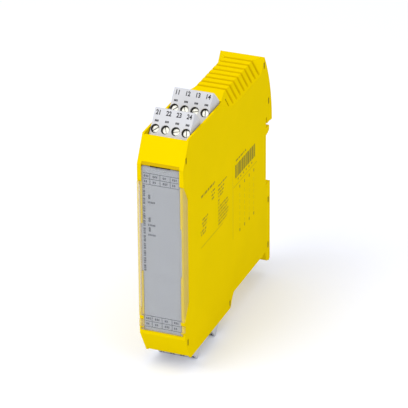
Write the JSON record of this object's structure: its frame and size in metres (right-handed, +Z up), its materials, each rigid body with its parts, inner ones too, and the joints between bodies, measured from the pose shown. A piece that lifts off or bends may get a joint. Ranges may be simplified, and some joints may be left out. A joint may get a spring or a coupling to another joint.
{
  "type": "safety relay",
  "caption": "Slim yellow safety relay for a DIN rail, with a clear hinged front cover, pull-out screw terminal plugs at top and bottom, ribbed ends and a sprung rail foot.",
  "frame": {"origin": "centre of the rail seat, on the plane where the front of a 35 mm DIN rail bears, at mid-width", "axes": "+X to the right seen from the front, -Y the front, +Y into the rail's wall, +Z up"},
  "size_m": [0.0226, 0.1149, 0.127],
  "materials": {
    "housing_yellow": "fine matt moulded yellow",
    "plug_grey": "light grey moulded polyamide",
    "label_grey": "satin grey",
    "clear_cover": "clear polycarbonate",
    "clear_guide": "clear light guide",
    "screw_steel": "zinc plated",
    "clamp_metal": "plated cage",
    "pin_brass": "tinned brass",
    "header_dark": "black polyamide",
    "foot_black": "black polyamide",
    "spring_steel": "spring wire",
    "board_green": "solder mask",
    "relay_case": "moulded case",
    "transformer_black": "bobbin and core",
    "capacitor_can": "sleeved can",
    "led_body": "translucent"
  },
  "bodies": {
    "module_body": {"housing": "housing_yellow", "side_cover": "housing_yellow", "label_plate": "label_grey", "light_guides": "clear_guide", "header_top_front": "header_dark", "header_pins_top_front": "pin_brass", "header_top_rear": "header_dark", "header_pins_top_rear": "pin_brass", "header_bottom_front": "header_dark", "header_pins_bottom_front": "pin_brass", "header_bottom_rear": "header_dark", "header_pins_bottom_rear": "pin_brass", "foot_spring": "spring_steel", "main_board": "board_green", "switching_relay_1": "relay_case", "switching_relay_2": "relay_case", "power_transformer": "transformer_black", "capacitor": "capacitor_can", "logic_board": "board_green", "board_connector": "header_dark", "logic_chips": "header_dark", "status_leds": "led_body"},
    "front_cover": {"front_cover": "clear_cover"},
    "rail_foot": {"rail_foot": "foot_black"},
    "plug_top_front": {"plug_top_front": "plug_grey", "terminal_screws_top_front": "screw_steel", "clamps_top_front": "clamp_metal"},
    "plug_top_rear": {"plug_top_rear": "plug_grey", "terminal_screws_top_rear": "screw_steel", "clamps_top_rear": "clamp_metal"},
    "plug_bottom_front": {"plug_bottom_front": "plug_grey", "terminal_screws_bottom_front": "screw_steel", "clamps_bottom_front": "clamp_metal"},
    "plug_bottom_rear": {"plug_bottom_rear": "plug_grey", "terminal_screws_bottom_rear": "screw_steel", "clamps_bottom_rear": "clamp_metal"}
  },
  "joints": [
    {"name": "front_cover_hinge", "type": "hinge", "parent": "module_body", "child": "front_cover", "pos_m": [0, -0.1058, -0.0466], "axis": [1, 0, 0], "range_deg": [0, 110]},
    {"name": "rail_foot_slide", "type": "slide", "parent": "module_body", "child": "rail_foot", "axis": [0, 0, -1], "range_m": [0, 0.0032], "stiffness_N_per_m": 2000, "springref_m": -0.001, "deforming": ["foot_spring"]},
    {"name": "plug_top_front_pull", "type": "slide", "parent": "module_body", "child": "plug_top_front", "axis": [0, 0, 1], "range_m": [0, 0.013]},
    {"name": "plug_top_rear_pull", "type": "slide", "parent": "module_body", "child": "plug_top_rear", "axis": [0, 0, 1], "range_m": [0, 0.013]},
    {"name": "plug_bottom_front_pull", "type": "slide", "parent": "module_body", "child": "plug_bottom_front", "axis": [0, 0, -1], "range_m": [0, 0.013]},
    {"name": "plug_bottom_rear_pull", "type": "slide", "parent": "module_body", "child": "plug_bottom_rear", "axis": [0, 0, -1], "range_m": [0, 0.013]}
  ]
}
